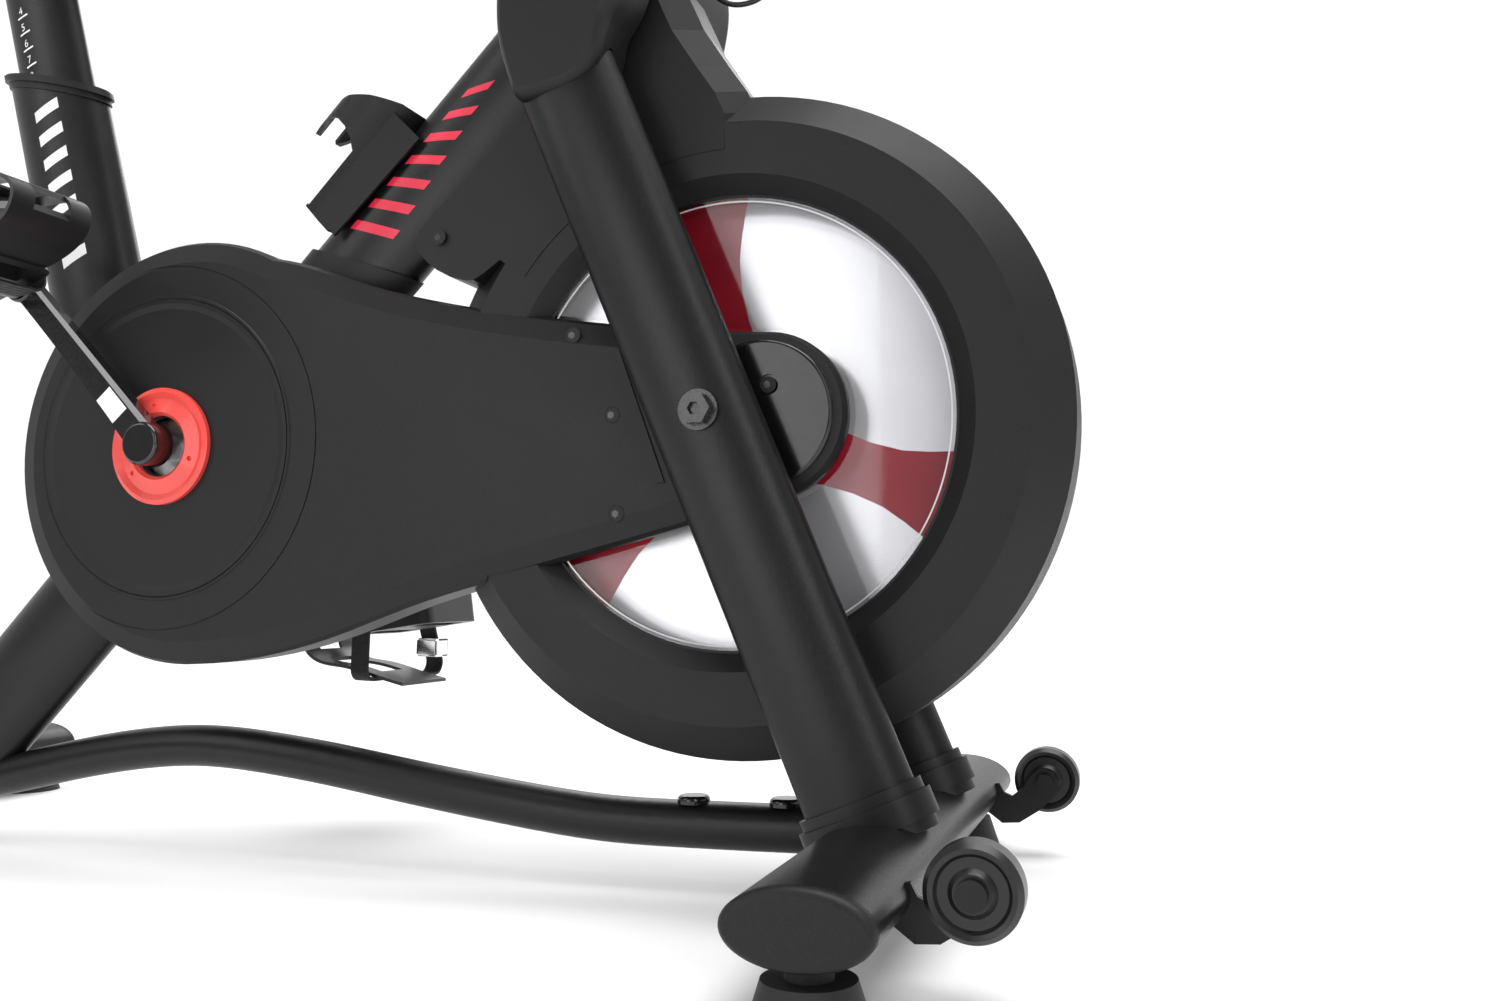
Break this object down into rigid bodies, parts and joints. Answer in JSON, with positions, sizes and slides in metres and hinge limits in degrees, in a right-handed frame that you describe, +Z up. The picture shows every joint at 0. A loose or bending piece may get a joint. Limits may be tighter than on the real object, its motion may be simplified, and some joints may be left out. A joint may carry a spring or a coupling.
{
  "type": "exercise bike",
  "caption": "Indoor spin bike with a shrouded flywheel, belt drive, toe-cage pedals, adjustable saddle and handlebar, and a tilting console.",
  "frame": {"origin": "on the floor, under the middle of the bike", "axes": "+X forward to the flywheel end, +Y to the rider's left, +Z up"},
  "size_m": [1.318, 0.61, 1.2444],
  "materials": {
    "frame_black": "satin powder coat",
    "cover_plastic": "fine satin texture",
    "gloss_black": "glossy",
    "red_ring": "satin",
    "clear_window": "clear",
    "polished_steel": "finely turned",
    "chrome": "bright",
    "rubber_black": "matt",
    "tyre_black": "smooth",
    "crank_black": "gloss",
    "steel": "plain",
    "aluminium": "machined",
    "cage_grey": "satin",
    "strap_black": "woven strap",
    "saddle_cover": "embossed synthetic leather",
    "belt_rubber": "ribbed",
    "cable_black": "smooth"
  },
  "bodies": {
    "frame": {"base_rail": "frame_black", "rear_leg": "frame_black", "down_tube": "frame_black", "seat_tube": "frame_black", "head_tube": "frame_black", "fork_leg_right": "frame_black", "fork_leg_left": "frame_black", "fork_crown": "frame_black", "crown_cover": "cover_plastic", "leg_collars": "frame_black", "front_stabiliser": "frame_black", "rear_stabiliser": "frame_black", "stabiliser_caps": "cover_plastic", "rail_plugs": "gloss_black", "wheel_brackets": "frame_black", "belt_cover_right": "cover_plastic", "belt_cover_left": "cover_plastic", "crank_discs": "cover_plastic", "crank_rings": "red_ring", "hub_dome": "gloss_black", "shroud_right": "cover_plastic", "shroud_left": "cover_plastic", "flywheel_windows": "clear_window", "cover_screws": "gloss_black", "bottle_holder": "cover_plastic", "seat_bushing": "cover_plastic", "bottom_bracket_shell": "steel", "flywheel_axle": "steel", "console_cable": "cable_black", "drive_belt": "belt_rubber"},
    "flywheel": {"flywheel": "polished_steel", "flywheel_pulley": "aluminium"},
    "crank": {"crank_axle": "steel", "crank_arm_right": "crank_black", "crank_arm_left": "crank_black", "crank_pulley": "aluminium"},
    "pedal_right": {"pedal_body_right": "cage_grey", "toe_cage_right": "cage_grey", "pedal_strap_right": "strap_black"},
    "pedal_left": {"pedal_body_left": "cage_grey", "toe_cage_left": "cage_grey", "pedal_strap_left": "strap_black"},
    "magnet_brake": {"magnet_brake": "steel"},
    "seat_post": {"seat_post": "frame_black"},
    "saddle": {"seat_carriage": "frame_black", "saddle": "saddle_cover"},
    "seat_knob": {"seat_knob": "gloss_black"},
    "saddle_clamp_knob": {"saddle_clamp_knob": "gloss_black"},
    "handlebar": {"handlebar_post": "frame_black", "handlebar": "frame_black", "handlebar_grips": "rubber_black"},
    "handlebar_knob": {"handlebar_knob": "gloss_black"},
    "console": {"console": "gloss_black"},
    "resistance_knob": {"resistance_knob": "gloss_black"},
    "transport_wheel_right": {"transport_wheel_right": "tyre_black"},
    "transport_wheel_left": {"transport_wheel_left": "tyre_black"},
    "foot_front_right": {"foot_front_right": "rubber_black"},
    "foot_front_left": {"foot_front_left": "rubber_black"},
    "foot_rear_right": {"foot_rear_right": "rubber_black"},
    "foot_rear_left": {"foot_rear_left": "rubber_black"}
  },
  "joints": [
    {"name": "flywheel_spin", "type": "hinge", "parent": "frame", "child": "flywheel", "pos_m": [0.4, 0, 0.366], "axis": [0, 1, 0], "continuous": true},
    {"name": "crank_spin", "type": "hinge", "parent": "frame", "child": "crank", "pos_m": [-0.122, 0, 0.366], "axis": [0, 1, 0], "continuous": true},
    {"name": "pedal_right_spin", "type": "hinge", "parent": "crank", "child": "pedal_right", "pos_m": [-0.24284, 0, 0.51002], "axis": [0, 1, 0], "continuous": true},
    {"name": "pedal_left_spin", "type": "hinge", "parent": "crank", "child": "pedal_left", "pos_m": [-0.00116, 0, 0.22198], "axis": [0, 1, 0], "continuous": true},
    {"name": "resistance_turn", "type": "hinge", "parent": "frame", "child": "resistance_knob", "pos_m": [0.262, 0, 0.8], "axis": [-0.5736, 0, 0.8192], "range_deg": [0, 720]},
    {"name": "brake_swing", "type": "hinge", "parent": "frame", "child": "magnet_brake", "pos_m": [0.22232, 0, 0.53758], "axis": [0, 1, 0], "range_deg": [0, 1.8]},
    {"name": "seat_height", "type": "slide", "parent": "frame", "child": "seat_post", "axis": [-0.2672, 0, 0.9636], "range_m": [-0.085, 0.12]},
    {"name": "saddle_fore_aft", "type": "slide", "parent": "seat_post", "child": "saddle", "axis": [1, 0, 0], "range_m": [-0.045, 0.045]},
    {"name": "seat_knob_pull", "type": "slide", "parent": "frame", "child": "seat_knob", "axis": [-0.9636, 0, -0.2672], "range_m": [0, 0.009], "stiffness_N_per_m": 600},
    {"name": "saddle_clamp_turn", "type": "hinge", "parent": "seat_post", "child": "saddle_clamp_knob", "pos_m": [-0.33527, -0.052, 0.93563], "axis": [0, 1, 0], "range_deg": [0, 720]},
    {"name": "handlebar_height", "type": "slide", "parent": "frame", "child": "handlebar", "axis": [0, 0, 1], "range_m": [0, 0.06]},
    {"name": "handlebar_knob_pull", "type": "slide", "parent": "frame", "child": "handlebar_knob", "axis": [0, -1, 0], "range_m": [0, 0.008], "stiffness_N_per_m": 600},
    {"name": "console_tilt", "type": "hinge", "parent": "handlebar", "child": "console", "pos_m": [0.44581, 0, 1.14563], "axis": [0, 1, 0], "range_deg": [-15, 20]},
    {"name": "transport_right_spin", "type": "hinge", "parent": "frame", "child": "transport_wheel_right", "pos_m": [0.61, -0.227, 0.068], "axis": [0, 1, 0], "continuous": true},
    {"name": "transport_left_spin", "type": "hinge", "parent": "frame", "child": "transport_wheel_left", "pos_m": [0.61, 0.227, 0.068], "axis": [0, 1, 0], "continuous": true},
    {"name": "foot_front_right_turn", "type": "hinge", "parent": "frame", "child": "foot_front_right", "pos_m": [0.5255, -0.27, 0.02], "axis": [0, 0, 1], "continuous": true},
    {"name": "foot_front_left_turn", "type": "hinge", "parent": "frame", "child": "foot_front_left", "pos_m": [0.5255, 0.27, 0.02], "axis": [0, 0, 1], "continuous": true},
    {"name": "foot_rear_right_turn", "type": "hinge", "parent": "frame", "child": "foot_rear_right", "pos_m": [-0.615, -0.27, 0.02], "axis": [0, 0, 1], "continuous": true},
    {"name": "foot_rear_left_turn", "type": "hinge", "parent": "frame", "child": "foot_rear_left", "pos_m": [-0.615, 0.27, 0.02], "axis": [0, 0, 1], "continuous": true}
  ],
  "couplings": [
    {"joint": "crank_spin", "follows": "flywheel_spin", "ratio": 0.25},
    {"joint": "brake_swing", "follows": "resistance_turn", "ratio": 0.0025}
  ]
}
